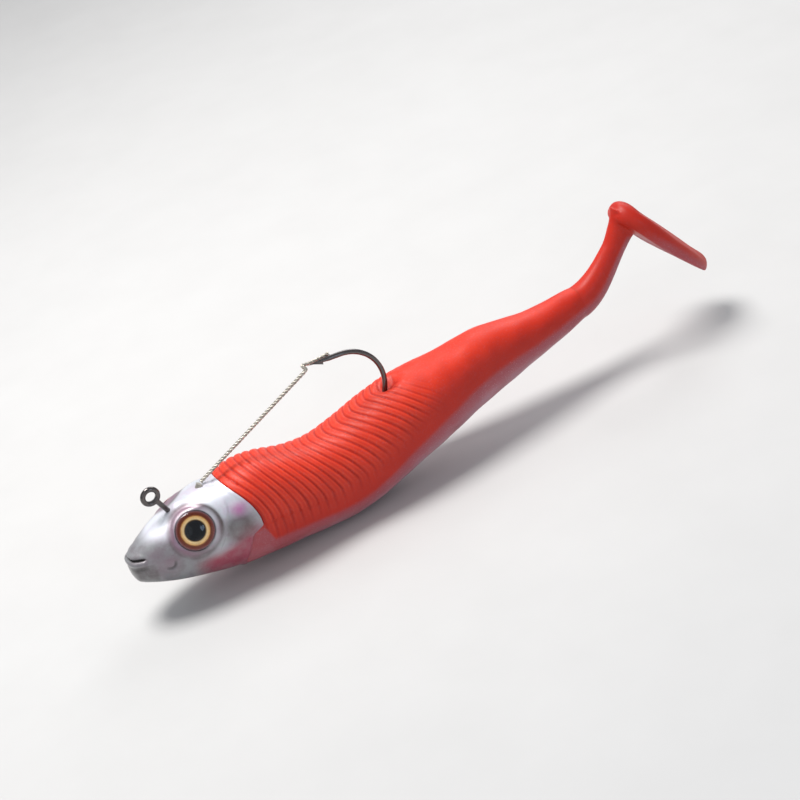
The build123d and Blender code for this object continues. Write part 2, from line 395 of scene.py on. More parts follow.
PEARL_WHITE = rgb(0.66, 0.68, 0.73)
PEARL_LILAC = rgb(0.50, 0.48, 0.56)
# Painted shade: darkens the pearl where the head lies in shade or mirrors dark surroundings
SHADE_GREY = rgb(0.10, 0.092, 0.09)
PEARL_MAUVE = rgb(0.24, 0.13, 0.18)
# Painted reflection: a red mirrored low on the head, kept dark as painted shade
REFLECTED_CRIMSON = rgb(0.30, 0.016, 0.05)
MAGENTA = rgb(0.42, 0.08, 0.30)
# Painted shade for the mouth slit, under the lower lip, in the jaw mark and in the gap round each
# foil
CREVICE_SHADE = rgb(0.02, 0.016, 0.015)
RED = rgb(0.68, 0.030, 0.008)
RED_DEEP = rgb(0.34, 0.004, 0.001)
RED_LIGHT = rgb(0.84, 0.085, 0.03)
BELLY_PINK = rgb(0.36, 0.075, 0.09)
BELLY_PALE = rgb(0.44, 0.24, 0.28)
BELLY_GLITTER = rgb(0.70, 0.50, 0.62)
# Painted highlight along the top of the head
SHEEN = rgb(0.80, 0.83, 0.90)
SPARKLE = rgb(0.85, 0.85, 0.9)
GLINTS = [
    (0.30, rgb(0.46, 0.56, 0.52)),
    (0.46, rgb(0.64, 0.65, 0.70)),
    (0.60, rgb(0.62, 0.50, 0.60)),
    (0.75, rgb(0.54, 0.55, 0.70)),
]
# Colours laid on the head by mask: painted shade, a painted red reflection and painted shade in
# crevices, beside the paint's mauve and magenta tints
PAINT_COLOURS = {
    "shade": SHADE_GREY,
    "mauve": PEARL_MAUVE,
    "red_reflection": REFLECTED_CRIMSON,
    "glow": MAGENTA,
    "groove": CREVICE_SHADE,
}
EYE_RINGS = [
    (0.00, rgb(0.001, 0.001, 0.002)),
    (0.520, rgb(0.001, 0.001, 0.002)),
    (0.555, rgb(0.30, 0.17, 0.06)),
    (0.60, rgb(0.95, 0.72, 0.38)),
    (0.715, rgb(0.90, 0.55, 0.20)),
    (0.765, rgb(0.34, 0.10, 0.015)),
    (0.81, rgb(0.12, 0.020, 0.004)),
    (0.90, rgb(0.17, 0.026, 0.010)),
    (0.95, rgb(0.20, 0.070, 0.065)),
    (1.00, rgb(0.24, 0.13, 0.15)),
]


def pearl_paint():
    """Silver-white pearl with drifting pink and green glints under a clear coat, with painted
    shade, a painted reddish reflection and a painted highlight laid over it.
    """
    material, tree = new_material("pearl_paint")
    place = read_rest(tree)
    drift = noise(tree, place, 0.16, 4, 0.6)
    cloud = noise(tree, place, 0.45, 5, 0.6)
    flakes = noise(tree, place, 9.0, 2, 0.7)
    base = mix(tree, spread(tree, drift, 0.35, 0.65), PEARL_WHITE, PEARL_LILAC)
    base = mix(tree, 0.5, base, ramp(tree, cloud, GLINTS))
    base = mix(tree, read_mask(tree, "sheen"), base, SHEEN)
    patchiness = spread(tree, cloud, 0.2, 0.6, 0.75, 1.0)
    for mask, colour in PAINT_COLOURS.items():
        patchy = calc(tree, "MULTIPLY", read_mask(tree, mask), patchiness)
        base = mix(tree, patchy, base, colour)
    base = mix(tree, calc(tree, "MULTIPLY", spread(tree, flakes, 0.62, 0.75), 0.25), base, SPARKLE)
    rough = spread(tree, flakes, 0.3, 0.7, 0.36, 0.50)
    film = spread(tree, drift, 0.3, 0.7, 330, 560)
    inputs = {"Base Color": base, "Metallic": 0.25, "Roughness": rough, "Thin Film IOR": 1.5}
    inputs |= {"Thin Film Thickness": film, "Coat Weight": 0.6, "Coat Roughness": 0.22}
    inputs["Normal"] = bump(tree, flakes, 0.08, 0.2)
    return finish_material(material, inputs)


def soft_plastic(name):
    """Translucent red over pearl. The mask 'red' says how much of the back colour is here; the
    others say how far it has run into the pearl and how much painted shade darkens the red above
    the line, how deep in a groove or the hook slot the point is, for painted shade, and how near a
    rib's brightest line, for a painted highlight."""
    material, tree = new_material(name)
    place = read_rest(tree)
    cloud = noise(tree, place, 0.20, 4, 0.55)
    grain = noise(tree, place, 2.2, 3, 0.6)
    glitter = noise(tree, place, 7.0, 1, 0.5)
    red = mix(tree, spread(tree, cloud, 0.40, 0.75, 0.0, 0.35), RED, RED_DEEP)
    red = mix(tree, calc(tree, "MULTIPLY", spread(tree, grain, 0.45, 0.75), 0.15), red, RED_LIGHT)
    # Shade is painted in the grooves, the hook slot and just above the colour line, and a
    # highlight along the ribs' brightest lines
    tints = (("valley_shade", 0.8, RED_DEEP), ("crest_highlight", 0.6, RED_LIGHT), ("bleed_and_shade", 0.55, RED_DEEP))
    for mask, amount, colour in tints:
        red = mix(tree, calc(tree, "MULTIPLY", read_mask(tree, mask), amount), red, colour)
    pale = mix(tree, read_mask(tree, "bleed_and_shade"), BELLY_PALE, BELLY_PINK)
    pale = mix(tree, spread(tree, cloud, 0.35, 0.70, 0.0, 0.5), pale, BELLY_PINK)
    pale = mix(tree, spread(tree, glitter, 0.66, 0.74, 0.0, 0.6), pale, BELLY_GLITTER)
    edge = calc(tree, "ADD", read_mask(tree, "red"), spread(tree, grain, 0.3, 0.7, -0.12, 0.12))
    base = mix(tree, spread(tree, edge, 0.0, 1.0), pale, red)
    rough = spread(tree, grain, 0.3, 0.7, 0.42, 0.56)
    inputs = {"Base Color": base, "Roughness": rough, "Specular IOR Level": 0.3}
    inputs |= {"Subsurface Weight": 0.25, "Subsurface Radius": (1.0, 0.2, 0.12)}
    inputs |= {"Subsurface Scale": 1.0 * MM, "Coat Weight": 0.05, "Coat Roughness": 0.3}
    inputs["Normal"] = bump(tree, grain, 0.12, 0.2)
    return finish_material(material, inputs)


def hook_wire():
    """Black nickel, faintly drawn and scratched."""
    material, tree = new_material("hook_wire")
    scratch = noise(tree, object_place(tree), 3.0, 4, 0.7)
    tone = mix(tree, scratch, rgb(0.05, 0.045, 0.045), rgb(0.17, 0.15, 0.145))
    rough = spread(tree, scratch, 0.3, 0.7, 0.14, 0.26)
    inputs = {"Base Color": tone, "Metallic": 1.0, "Roughness": rough, "Coat Weight": 0.5}
    inputs |= {"Coat Roughness": 0.08, "Normal": bump(tree, scratch, 0.05, 0.1)}
    return finish_material(material, inputs)


def strand_metal(name, light, dark):
    """Fine drawn wire, stained in patches."""
    material, tree = new_material(name)
    place = object_place(tree)
    stain = noise(tree, place, 1.4, 4, 0.6)
    tone = mix(tree, spread(tree, stain, 0.3, 0.7), light, dark)
    rough = spread(tree, stain, 0.3, 0.7, 0.32, 0.48)
    inputs = {"Base Color": tone, "Metallic": 0.75, "Roughness": rough}
    inputs["Normal"] = bump(tree, noise(tree, place, 14.0, 2), 0.1, 0.05)
    return finish_material(material, inputs)


def eye_print():
    """Printed rings on metal foil. The mask 'radius' is the distance from the eye's centre."""
    material, tree = new_material("eye_foil")
    radius = read_mask(tree, "radius")
    brush = noise(tree, object_place(tree), 5.0, 3, 0.6)
    wavy = calc(tree, "ADD", radius, spread(tree, brush, 0.3, 0.7, -0.010, 0.010))
    rings = ramp(tree, wavy, EYE_RINGS)
    tone = mix(tree, spread(tree, brush, 0.45, 0.8, 0.0, 0.2), rings, rgb(0, 0, 0))
    metallic = spread(tree, radius, 0.54, 0.60, 0.0, 0.15)
    inputs = {"Base Color": tone, "Metallic": metallic, "Roughness": 0.4}
    inputs |= {"Specular IOR Level": 0.1, "Normal": bump(tree, brush, 0.1, 0.05)}
    return finish_material(material, inputs)


def clear_epoxy():
    """Clear dome. Its outside reflects like resin and it lets light straight through."""
    material, tree = new_material("eye_dome")
    ripple = noise(tree, object_place(tree), 0.6, 2)
    clear = node(tree, "BsdfTransparent", {"Color": rgb(0.99, 0.98, 0.97)})["BSDF"]
    inputs = {"Color": rgb(0.85, 0.92, 1.0), "Normal": bump(tree, ripple, 0.05, 0.3)}
    inputs["Roughness"] = spread(tree, ripple, 0.3, 0.7, 0.03, 0.07)
    shine = node(tree, "BsdfGlossy", inputs)["BSDF"]
    mirror = node(tree, "Fresnel", {"IOR": 1.42})["Fac"]
    outside = calc(tree, "SUBTRACT", 1.0, node(tree, "NewGeometry")["Backfacing"])
    share = calc(tree, "MULTIPLY", mirror, outside)
    both = node(tree, "MixShader", {0: share, 1: clear, 2: shine})["Shader"]
    node(tree, "OutputMaterial", {"Surface": both})
    return material


# ---------------------------------------------------------------- the part, measured

UPPERS = ("front_body_upper", "middle_body_upper", "rear_body_upper")
BELLIES = ("front_body_belly", "middle_body_belly", "rear_body_belly")

head_tree = surface("head_casting")
upper_tree = surface(*UPPERS)
belly_tree = surface(*BELLIES)
body_tree = surface(*UPPERS, *BELLIES)
front_tree = surface("head_casting", "front_body_upper", "front_body_belly")
outer_tree = surface("head_casting", *UPPERS, *BELLIES)
hook_tree = surface("hook")
stem_tree = surface("tail_stem")
guard_tree = surface("weed_guard")

head_low, head_high = box_mm("head_casting")
hook_low, hook_high = box_mm("hook")
guard_low, guard_high = box_mm("weed_guard")
WIRE = (hook_high[1] - hook_low[1]) / 2
STRAND = -guard_low[1]
BESIDE_WIRE = 2.2 * WIRE

flex_x = [joint_place(name)[0] for name in ("body_flex", "rear_flex", "tail_flex")]
nose_x = head_low[0]
body_front_x = box_mm("front_body_upper")[0][0]
neck = joint_place("paddle_twist")


def head_skin():
    """The head's sections, with a point just in front of its flat nose to close it round."""
    length = flex_x[0] * 0.36 - nose_x
    places = [nose_x - 0.22]
    sections = [None]
    for share in (0.012, 0.035, 0.08, 0.15, 0.24, 0.35, 0.47, 0.6, 0.75, 0.9, 1.0):
        x = nose_x + share * length
        beside = min(BESIDE_WIRE, 0.3 * (x - nose_x))
        places.append(x)
        sections.append(measure_section(front_tree, x, beside))
    sections[0] = (sections[1][0], 0.0, 0.0)
    return Skin(places, sections)


def body_skin():
    """The body's sections, read away from the notches at the bending stations. Under the back
    of the head the sections are the head's, which lies flush with it."""
    places = []
    starts = [body_front_x + 1.5] + [x + 4.0 for x in flex_x[:2]]
    ends = [x - 4.0 for x in flex_x]
    counts = (14, 4, 4)
    for start, end, count in zip(starts, ends, counts):
        places += np.linspace(start, end, count).tolist()
    sections = [measure_section(outer_tree, x, BESIDE_WIRE) for x in places]
    return Skin(places, sections)


HEAD = head_skin()
BODY = body_skin()


def turning_point(low, high, rounds, holds):
    """Where a test that holds at low stops holding on the way to high."""
    for _ in range(rounds):
        middle = (low + high) / 2
        if holds(middle):
            low = middle
        else:
            high = middle
    return (low + high) / 2


def distance_in(tree, skin, x, angle):
    """How far in the tree's surface is, from just outside the skin at this angle."""
    outward = np.array([0, math.cos(angle), math.sin(angle)])
    return cast(tree, skin.points(x, angle) + outward * 3, -outward)[1]


def gill_edge(angles):
    """How far back the head casting reaches at each angle."""
    edge = np.zeros(len(angles))
    for i, angle in enumerate(angles):

        def on_head(x):
            to_head = distance_in(head_tree, HEAD, x, angle)
            return to_head <= distance_in(body_tree, HEAD, x, angle)

        edge[i] = turning_point(body_front_x - 1, head_high[0] * 0.75, 14, on_head)
    return edge


def colour_line():
    """The angle, up the left flank, where the red back meets the pearl belly."""
    found = []
    for x in BODY.places:

        def on_belly(angle):
            to_belly = distance_in(belly_tree, BODY, x, angle)
            return to_belly < distance_in(upper_tree, BODY, x, angle)

        found.append(turning_point(-math.pi / 2, math.pi / 3, 12, on_belly))
    return smooth_curve(BODY.places, found)


EDGE_ANGLES = np.linspace(-math.pi / 2, math.pi * 1.5, 241)
EDGE_X = gill_edge(EDGE_ANGLES)
COLOUR_ANGLE = colour_line()


def gill_x(angle):
    """How far back the head reaches at these angles."""
    turned = np.mod(np.asarray(angle) + math.pi / 2, 2 * math.pi) - math.pi / 2
    return np.interp(turned, EDGE_ANGLES, EDGE_X)


def eye_frame():
    """Centre of the left foil's face, the outward, back and up directions there, the foil's
    radius and its thickness."""
    data = frame["nodes"]["eye_foil_left"].data
    points = np.array([vertex.co for vertex in data.vertices]) / MM
    middle = (points.min(0) + points.max(0)) / 2
    _, _, directions = np.linalg.svd(points - middle)
    outward = directions[2] * -np.sign(directions[2][1])
    back = unit(np.array([1.0, 0.0, 0.0]) - outward[0] * outward)
    up = np.cross(back, outward)
    up *= np.sign(up[2])
    heights = (points - middle) @ outward
    across = np.linalg.norm((points - middle) - np.outer(heights, outward), axis=1)
    return middle + outward * heights.max(), outward, back, up, across.max(), np.ptp(heights)


EYE, EYE_OUT, EYE_BACK, EYE_UP, EYE_RADIUS, FOIL = eye_frame()


def hook_exit():
    """Where the hook's bend leaves the back."""
    x = flex_x[0] - 8
    for _ in range(5):
        centre, half_height, _ = BODY.sizes(x)
        x = cast(hook_tree, (flex_x[0] + 20, 0, centre + half_height), (-1, 0, 0))[0][0] - WIRE
    centre, half_height, _ = BODY.sizes(x)
    return np.array([x, 0, centre + half_height])


HOOK_EXIT = hook_exit()


# ---------------------------------------------------------------- head

HEAD_RINGS = 250
HEAD_AROUND = 360
MOUTH_CORNER_X = nose_x + 2.9
JAW_MARK_X, JAW_MARK_Z = -7.2, -4.2  # from the eye
SEAT_RADIUS = EYE_RADIUS + 1.45
SEAT_RISE = 0.30  # the most the skin swells up to meet the seat's wall
TIE_LEG_X = EYE[0] - 0.7
GILL_LIP = 0.22  # how far the head's rear edge stands off the body
GILL_TUCK = ((0.07, 0.10), (0.08, 0.25), (-0.1, 0.55), (-0.8, 0.9), (-1.5, 1.6))  # back, and in


def socket(points):
    """Beds both eyes: the skin comes up to the foil's edge and out to a shallow, walled seat.
    Also gives each point's distance from the eye's own axis."""
    from_eye = mirrored(points) - EYE
    height = from_eye @ EYE_OUT
    across = np.linalg.norm(from_eye - height[..., None] * EYE_OUT, axis=-1)
    share = 1 - step_up(across, SEAT_RADIUS - 0.25, SEAT_RADIUS + 0.35)
    bevel = 0.02 + 0.20 * np.clip((across - EYE_RADIUS) / (SEAT_RADIUS - EYE_RADIUS), 0, 1)
    fall = step_up(across, EYE_RADIUS + 0.12, EYE_RADIUS + 1.0)
    seat = np.where(height < bevel, bevel + (height - bevel) * fall, bevel)
    floor = np.where(across < EYE_RADIUS + 0.10, -FOIL, seat)
    shift = (floor - height) * share
    shift = np.where(shift > 0, SEAT_RISE * np.tanh(shift / SEAT_RISE), shift)
    to_side = np.where(points[..., 1:2] > 0, [1.0, -1.0, 1.0], [1.0, 1.0, 1.0])
    off_middle = (np.abs(points[..., 1]) > 0.5)[..., None]
    return points + shift[..., None] * EYE_OUT * to_side * off_middle, across


def mouth_z(x):
    """Height of the mouth slit, rising a little towards its corner."""
    return EYE[2] - 2.0 + 0.06 * np.maximum(x - nose_x - 0.8, 0)


def mouth(x, z):
    """Lift of the slit and of both lips, and how much shade is painted in the slit and under the
    lower lip.
    """
    above = z - mouth_z(x)
    before_corner = 1 - step_up(x, MOUTH_CORNER_X - 0.7, MOUTH_CORNER_X + 0.2)
    slit = hump(above, 0, 0.2)
    lift = 0.34 * hump(above, -0.75, 0.5) + 0.12 * hump(above, 0.55, 0.4) - 0.60 * slit
    dark = 1.3 * slit + 0.55 * hump(above, -1.9, 0.55)
    return lift * before_corner, dark * before_corner


def jaw_mark(from_eye):
    """A small ring pressed in behind the mouth, deepest at its low rear side."""
    dx = from_eye[..., 0] - JAW_MARK_X
    dz = from_eye[..., 2] - JAW_MARK_Z
    low_side = step_up(0.5 * dx - dz, -0.2, 0.9)
    return hump(np.hypot(dx, dz * 0.9), 1.0, 0.30) * low_side


def cheek_crease(from_eye):
    """A step down behind the cheek, fading backwards."""
    x, z = from_eye[..., 0], from_eye[..., 2]
    behind = x - smooth_curve([-6.0, -4.3, -1.1, 1.7, 3.2], [3.0, 4.3, 6.0, 7.7, 8.0])(z)
    on_flank = step_up(z, -6.5, -5) * (1 - step_up(z, 2.2, 3.6))
    return -step_up(behind, -0.5, 0.4) * (1 - step_up(behind, 0.4, 3.5)) * on_flank


def head_features(points, normals):
    """Mouth, jaw mark, cheek crease and the swelling round the wires, and the shade painted in the
    mouth and in the jaw mark.
    """
    from_eye = mirrored(points) - EYE
    mouth_lift, mouth_shade = mouth(points[..., 0], points[..., 2])
    mark = jaw_mark(from_eye)
    pip = blob(from_eye, (3.4, -2.4, -3.3), (0.5, 1.5, 0.5))
    collar = blob(points, HEAD.points(TIE_LEG_X, math.pi / 2), (1.1, 0.9, 1.0))
    root = blob(points, joint_place("guard_press") + [1.0, 0, 0.4], (1.4, 1.1, 1.2))
    lift = mouth_lift - 0.22 * mark + 0.30 * cheek_crease(from_eye)
    lift = lift + 0.22 * pip + 0.30 * collar + 0.45 * root
    return points + normals * lift[..., None], np.clip(mouth_shade + 0.75 * mark, 0, 1)


def paint_masks(points, across, dark):
    """Where each colour of the head lies, and where shade, a reddish reflection and a highlight
    are painted on it.
    """
    from_eye = mirrored(points) - EYE
    x, z = from_eye[..., 0], from_eye[..., 2]
    from_nose = points[..., 0] - nose_x
    # Painted shade: the cheek, the side of the snout, the jaw under the lip and the lower flank
    # are darkened as shade and as mirrored dark surroundings, and the seat's rim gets a painted
    # shadow, deepest at its upper rear.
    cheek = blob(from_eye, (8.4, -2.6, -3.2), (3.4, 4, 3.4))
    snout = step_up(0.9 - 0.10 * x - z, 0, 2.0) * (1 - step_up(x, -1, 6))
    below_mouth = mouth_z(points[..., 0]) - points[..., 2]
    jaw = step_up(below_mouth, 1.1, 1.9) * (1 - step_up(from_nose, 2.2, 4.5))
    upper_rear = step_up(from_eye @ (EYE_BACK + 1.2 * EYE_UP), -1, 6)
    shadow = hump(across, SEAT_RADIUS - 0.1, 0.45) * (0.40 + 0.60 * upper_rear)
    flank = step_up(1.5 - z, 0, 3) * step_up(x, 2, 7)
    shade = 0.95 * cheek + 0.80 * snout + 0.8 * jaw + 0.95 * shadow + 0.35 * flank
    # Painted reflection: red mirrored on the lower head and low behind the cheek, painted dark as
    # in shade
    under = step_up(-5.0 - z, 0, 3.0) * step_up(x, -4.5, 2)
    behind = blob(from_eye, (11, -2.0, -7.0), (4.5, 4, 3.0))
    bevel = hump(across, EYE_RADIUS + 0.70, 0.80)
    front_side = step_up(from_eye @ (0.6 * EYE_UP - EYE_BACK), -4, 2)
    mauve = 0.95 * bevel * (0.30 + 0.70 * front_side)
    mauve += 0.3 * blob(mirrored(points), (nose_x + 5, -5, EYE[2] - 3), (3, 3, 3))
    mauve += 0.5 * blob(from_eye, (-7.0, 0, -4.1), (1.6, 4, 1.5))
    # Painted highlight: a pale band along the top of the snout and head, where the light falls
    sheen_y = np.interp(points[..., 0], [nose_x + 3, EYE[0] - 3, EYE[0] + 7], [0.8, 2.5, 4.3])
    sheen = 0.85 * hump(np.abs(points[..., 1]), sheen_y, 1.8)
    sheen *= step_up(z, -1.5, 0.5) * step_up(from_nose, 1, 3)
    return {
        "sheen": sheen,
        "shade": np.clip(shade, 0, 0.97),
        "red_reflection": np.clip(0.95 * under + 0.85 * behind, 0, 0.95),
        "glow": 0.75 * blob(from_eye, (9.8, -1.5, 0.6), (1.8, 3, 1.3)),
        "mauve": np.clip(mauve, 0, 1),
        # Painted shade in the mouth, under the lip, in the jaw mark and in the gap round the foil
        "groove": np.clip(dark + 0.9 * hump(across, EYE_RADIUS + 0.1, 0.16), 0, 1),
    }


def head_piece():
    """The painted head: a closed shell from the round nose to a lip over the body."""
    angle = round_angles(HEAD_AROUND)
    edge = gill_x(angle)
    front = HEAD.places[0] + 0.01
    share = np.linspace(0.02, 1, HEAD_RINGS) ** 1.35
    x = front + share[:, None] * (edge[None, :] - front)
    lip = GILL_LIP * step_up(x - edge[None, :], -1.2, -0.2)
    grid = HEAD.points(x, angle[None, :], lip)
    grid, dark = head_features(grid, grid_normals(grid))
    grid, across = socket(grid)
    rings = [grid]
    for back, sink in GILL_TUCK:
        rings.append(HEAD.points(edge + back, angle, GILL_LIP - sink)[None])
    whole = np.concatenate(rings)
    masks = {}
    for mask, values in paint_masks(grid, across, dark).items():
        tucked = np.repeat(values[-1:], len(GILL_TUCK), axis=0)
        ends = [values[0, 0], values[-1, 0]]
        masks[mask] = np.concatenate([values.ravel(), tucked.ravel(), ends])
    faces = tube_faces(len(whole), HEAD_AROUND)
    piece = make_mesh("head_painted", with_fans(whole), faces, pearl_paint(), masks, 60)
    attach(piece, "root")
    stand_for(piece, "pearl_paint", "head_casting")


def eye_points(side, radius, angle, height):
    """Points in the eye's own round coordinates; side is -1 left, 1 right."""
    radius, angle, height = np.broadcast_arrays(radius, angle, height)
    points = (
        EYE
        + (radius * np.cos(angle))[..., None] * EYE_BACK
        + (radius * np.sin(angle))[..., None] * EYE_UP
        + height[..., None] * EYE_OUT
    )
    if side > 0:
        points = points * np.array([1.0, -1.0, 1.0])
    return points


EYE_SIDES = 96
DOME_CROWN = 1.25


def foil_profile():
    """Radii and heights of a printed disc: sunk pupil, raised iris ring and rolled edge."""
    top = np.linspace(0.02, 1.0, 60) * EYE_RADIUS
    iris = 0.07 * step_up(top, 0.54 * EYE_RADIUS, 0.6 * EYE_RADIUS)
    iris -= 0.05 * step_up(top, 0.76 * EYE_RADIUS, 0.8 * EYE_RADIUS)
    iris -= 0.06 * step_up(top, 0.95 * EYE_RADIUS, EYE_RADIUS)
    radius = np.concatenate([top, np.array([1, 0.5, 0.02]) * EYE_RADIUS])
    return radius, np.concatenate([iris - 0.05, [-FOIL, -FOIL, -FOIL]])


def dome_profile():
    """Radii and heights of a clear cap whose edge is rolled onto the foil."""
    sweep = np.linspace(0.01, 1, 40) * math.pi / 2
    radius = 0.985 * EYE_RADIUS * np.sin(sweep)
    height = DOME_CROWN * np.cos(sweep) ** 1.7 + 0.03
    radius = np.concatenate([radius, [0.97 * EYE_RADIUS, 0.4 * EYE_RADIUS, 0.01]])
    return radius, np.concatenate([height, [0.02, 0.02, 0.02]])


def eye_piece(side, name, radius, height, material, masks):
    """A round closed piece of one eye, from its radii and heights. Each mask it is given holds
    the distance from the eye's centre."""
    angle = np.linspace(0, 2 * math.pi, EYE_SIDES, endpoint=False)
    grid = eye_points(side, radius[:, None], angle[None, :], height[:, None])
    share = np.repeat(radius[:, None] / EYE_RADIUS, EYE_SIDES, axis=1)
    filled = {mask: np.concatenate([share.ravel(), [0, 0]]) for mask in masks}
    faces = tube_faces(len(radius), EYE_SIDES, flip=side < 0)
    piece = make_mesh(name, with_fans(grid), faces, material, filled, 70)
    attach(piece, "root")
    return piece


def eyes():
    kinds = (
        ("print", "foil", foil_profile(), eye_print(), ["radius"]),
        ("lens", "dome", dome_profile(), clear_epoxy(), []),
    )
    for side, word in ((-1, "left"), (1, "right")):
        for shown, packed, profile, material, masks in kinds:
            piece = eye_piece(side, f"eye_{shown}_{word}", *profile, material, masks)
            stand_for(piece, "eye_" + packed, f"eye_{packed}_{word}")


# ---------------------------------------------------------------- soft body

RIB_PITCH = 1.8
RIB_DEPTH = 0.20
RIB_CROWN = 0.05
RIB_GROOVE = 0.22  # half width of the groove between two ribs
# A highlight is painted along the rib's brightest line
RIB_CREST = 0.50  # from the groove to the brightest line of the rib
RIDGE_ROUNDING = 0.15
REAR_LEAN = 4.5
SLOT_DEPTH = 1.7
RIB_END_X = HOOK_EXIT[0] + 4.0
RING_STEP = 0.15
PLAIN_STEP = 0.3
AROUND_UPPER = 150
AROUND_BELLY = 60
GILL_TOP_X = float(gill_x(math.pi / 2))
APEX_X = float(EDGE_X.max())
GILL_DIP = 4.0  # how much higher the pearl reaches just behind the gill


def folded_angle(angle):
    """The angle seen on the right flank: from straight down to straight up."""
    return np.arcsin(np.sin(angle))


def rib_shape(x, angle):
    """Lift of the ribs, how deep in a groove each point is, for painted shade, and how near the
    brightest line along a rib, for a painted highlight.
    """
    up = folded_angle(angle)
    along = np.clip((x - GILL_TOP_X) / (RIB_END_X - GILL_TOP_X), 0, 1.2)
    down = np.sqrt((math.pi / 2 - up) ** 2 + RIDGE_ROUNDING**2) - RIDGE_ROUNDING
    follow = gill_x(np.maximum(up, math.radians(5))) - GILL_TOP_X
    lean = follow * (1 - 0.35 * along) + REAR_LEAN * along * np.minimum(down, 1.3)
    wobble = 0.10 * np.sin(0.9 * x + 2 * up) * np.sin(3.0 * up + 0.35 * x)
    phase = (x - lean - GILL_TOP_X + wobble) / RIB_PITCH
    from_groove = np.abs(phase - np.round(phase)) * RIB_PITCH
    groove = hump(from_groove, 0, RIB_GROOVE)
    along = (x - lean - GILL_TOP_X) / (RIB_END_X - GILL_TOP_X)
    lowest = np.radians(-26 + 55 * np.clip(along, 0, 1) ** 0.8)
    down_flank = step_up(up, lowest - 0.35, lowest + 0.30)
    fade = down_flank * (1 - step_up(along, 0.82, 1.04)) * step_up(along, -0.01, 0.01)
    strength = fade * (0.75 + 0.25 * np.sin(0.37 * x + 4.0 * up) * np.sin(1.1 * x - 2.0 * up))
    crown = RIB_CROWN * np.cos(2 * math.pi * phase + math.pi)
    # Painted highlight along each rib's brightest line
    crest_highlight = hump(from_groove, RIB_CREST, 0.16)
    return (crown - RIB_DEPTH * groove) * fade, groove * strength, crest_highlight * strength


def pucker(x, angle):
    """The slot the hook comes out of, with swollen lips, and how much shade is painted in it."""
    y = BODY.radius(x, angle) * np.cos(angle)
    up = step_up(np.sin(angle), 0.2, 0.5)
    reach = np.hypot((x - HOOK_EXIT[0] - 0.3) / 1.7, y / 1.35)
    lips = 0.16 * hump(reach, 2.3, 0.7)
    return (lips - SLOT_DEPTH * hump(reach, 0, 1.3)) * up, hump(reach, 0, 0.9) * up


def soft_unevenness(x, angle):
    """Slow, slight waviness of a soft moulding."""
    waves = np.sin(0.31 * x + 2.0 * angle) + np.sin(0.17 * x - 3.0 * angle + 1.0)
    return 0.05 * waves + 0.03 * np.sin(0.83 * x + 5.0 * angle)


def bleed_and_shade_across(above):
    """How far the back's colour has run into the pearl below the colour line, and how much painted
    shade darkens the red above it, at this height above the line: it is strongest at the line and
    fades both ways."""
    return step_up(above, -5.5, -0.5) * (1 - 0.9 * step_up(above, 1.0, 10.0))


def body_points(x, angle):
    """Points on the soft skin, and its masks."""
    ribs, valley_shade, crest_highlight = rib_shape(x, angle)
    slot, slot_shade = pucker(x, angle)
    under_head = step_up(gill_x(angle) + 0.35 - x, 0, 0.5)
    lift = ribs + slot + soft_unevenness(x, angle) - 0.75 * under_head
    points = BODY.points(x, angle, lift)
    up = folded_angle(angle)
    above = (up - COLOUR_ANGLE(x)) * BODY.radius(x, angle)
    above = above - GILL_DIP * (1 - step_up(x, APEX_X - 0.2, APEX_X + 1.9))
    near_head = 1 - step_up(x, APEX_X + 2, APEX_X + 14)
    # Painted shade in the rib grooves and the hook slot, a painted highlight along the ribs'
    # brightest lines, and painted shade on the red just above the colour line
    masks = {
        "red": step_up(above, -0.9, 0.9),
        "valley_shade": np.clip(valley_shade + slot_shade, 0, 1),
        "crest_highlight": crest_highlight,
        "bleed_and_shade": np.clip(bleed_and_shade_across(above) + 0.8 * near_head * (above < 0), 0, 1),
    }
    return points, masks


def ring_places(start, end):
    """How far along each ring stands, closer together where the body is ribbed."""
    places = [start]
    while places[-1] < end - 1e-6:
        step = RING_STEP if places[-1] < RIB_END_X + 3 else PLAIN_STEP
        places.append(min(places[-1] + step, end))
    return np.array(places)


def body_stretch(name, start, end, upper, material):
    """One closed piece of the back or belly between two stations. Start None is the head."""
    places = ring_places(body_front_x if start is None else start, end)
    share = np.linspace(0, 1, AROUND_UPPER if upper else AROUND_BELLY)
    line = COLOUR_ANGLE(places)[:, None]
    if upper:
        angle = line + share * (math.pi - 2 * line)
    else:
        angle = math.pi - line + share * (math.pi + 2 * line)
    x = np.repeat(places[:, None], len(share), axis=1)
    if start is None:
        tuck = gill_x(angle) - 1.4
        along = (x - places[0]) / (end - places[0])
        x = tuck + along * (end - tuck)
    points, masks = body_points(x, angle)
    filled = {mask: with_ends(values) for mask, values in masks.items()}
    return make_mesh(name, with_fans(points), tube_faces(*x.shape), material, filled, 55)


def with_ends(values):
    """A mask over a grid, with its values at the fans' middles."""
    return np.concatenate([values.ravel(), [values[0].mean(), values[-1].mean()]])


def body_pieces(back_material, belly_material):
    middles = [(a + b) / 2 for a, b in zip(flex_x, flex_x[1:])]
    stretches = (
        ("front", None, middles[0], ("root", "middle"), "body_flex"),
        ("middle", *middles, ("middle", "rear"), "rear_flex"),
    )
    halves = (("back", "upper", back_material), ("belly", "belly", belly_material))
    for name, start, end, bodies, joint in stretches:
        for word, packed, material in halves:
            upper = packed == "upper"
            piece = body_stretch(f"{name}_{word}", start, end, upper, material)
            bend_across(piece)
            stand_for(piece, word + "_plastic", f"{name}_body_{packed}")


# ---------------------------------------------------------------- tail


